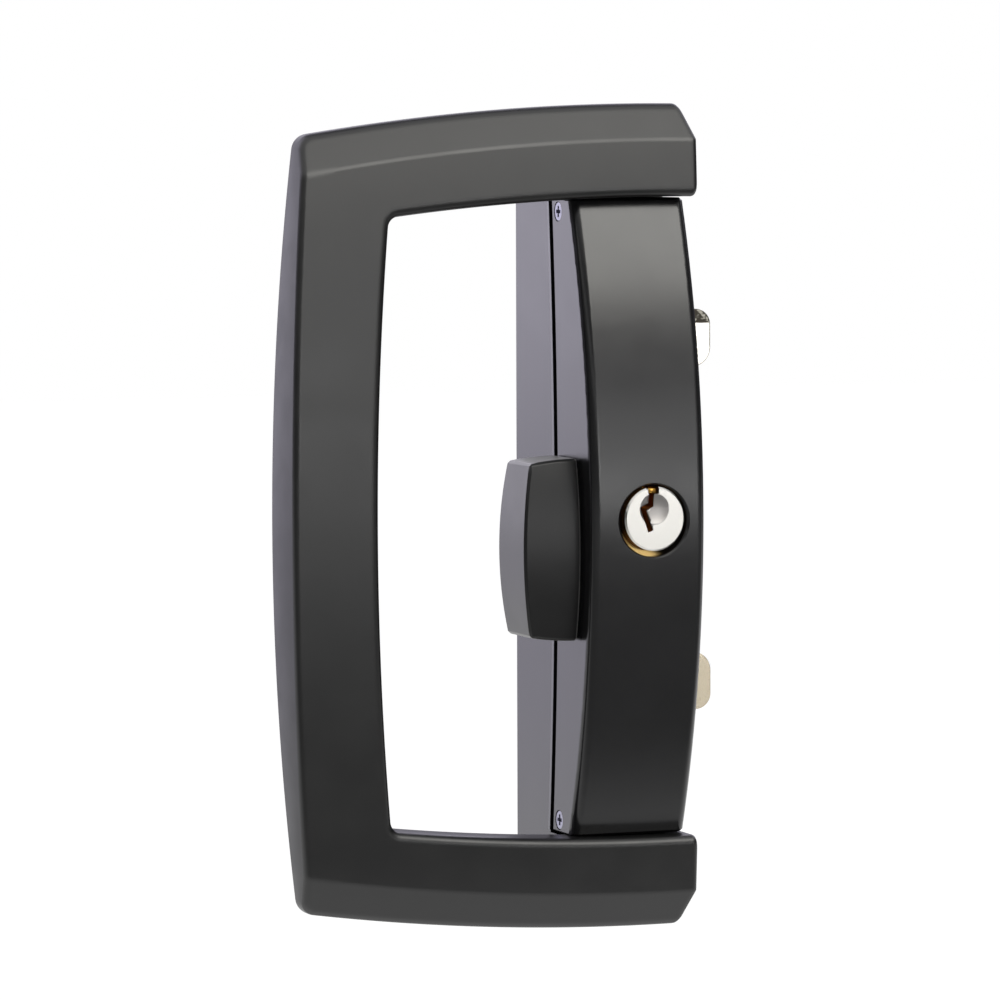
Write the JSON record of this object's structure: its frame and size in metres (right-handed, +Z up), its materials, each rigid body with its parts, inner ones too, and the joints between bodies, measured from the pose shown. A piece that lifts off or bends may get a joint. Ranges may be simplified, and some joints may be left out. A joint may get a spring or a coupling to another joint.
{
  "type": "sliding door lock",
  "caption": "Surface-fixed sliding door lock with a D-shaped pull, a key cylinder, a snib lever and a pair of steel hooks that swing out of the case.",
  "frame": {"origin": "middle of the flat back of the base housing, on the face of the door leaf", "axes": "+X towards the hooks and the strike, -Y out of the door leaf to the front of the lock, +Z up"},
  "size_m": [0.101, 0.0429, 0.1696],
  "materials": {
    "black_coat": "satin",
    "zinc_plate": "satin",
    "hook_steel": "bright",
    "pin_steel": "ground",
    "spring_steel": "satin",
    "raw_brass": "turned",
    "plug_nickel": "polished",
    "screw_steel": "satin",
    "black_screw": "satin"
  },
  "bodies": {
    "lock_case": {"base_housing": "black_coat", "keeper_plate": "zinc_plate", "keeper_screws": "screw_steel", "front_cover": "black_coat", "cover_screw_top": "black_screw", "cover_screw_bottom": "black_screw", "pull_handle": "black_coat", "handle_screws": "screw_steel", "cylinder_body": "raw_brass", "cylinder_retainer": "zinc_plate", "retainer_screws": "screw_steel", "driver_pins": "raw_brass", "pin_springs": "spring_steel", "slide_spring": "spring_steel", "upper_beak_pivot": "pin_steel", "lower_beak_pivot": "pin_steel"},
    "snib": {"snib_lever": "black_coat", "drive_bar": "zinc_plate", "lever_screws": "screw_steel"},
    "upper_hook": {"upper_beak": "hook_steel", "upper_drive_pin": "pin_steel"},
    "lower_hook": {"lower_beak": "hook_steel", "lower_drive_pin": "pin_steel"},
    "key_barrel": {"key_plug": "plug_nickel", "cylinder_cam": "zinc_plate", "cam_screw": "screw_steel", "key_pins": "raw_brass"}
  },
  "joints": [
    {"name": "snib_slide", "type": "slide", "parent": "lock_case", "child": "snib", "axis": [0, 0, 1], "range_m": [0, 0.012]},
    {"name": "upper_hook_turn", "type": "hinge", "parent": "lock_case", "child": "upper_hook", "pos_m": [0.0028, -0.0123, 0.0385], "axis": [0, 1, 0], "range_deg": [0, 73.74]},
    {"name": "lower_hook_turn", "type": "hinge", "parent": "lock_case", "child": "lower_hook", "pos_m": [-0.0028, -0.0123, -0.0385], "axis": [0, -1, 0], "range_deg": [0, 73.74]},
    {"name": "key_turn", "type": "hinge", "parent": "lock_case", "child": "key_barrel", "pos_m": [0.001, -0.03, 0.00045], "axis": [0, 1, 0], "range_deg": [0, 90]}
  ],
  "couplings": [
    {"joint": "upper_hook_turn", "follows": "snib_slide", "rad_per_m": 107.25},
    {"joint": "lower_hook_turn", "follows": "snib_slide", "rad_per_m": 107.25}
  ]
}
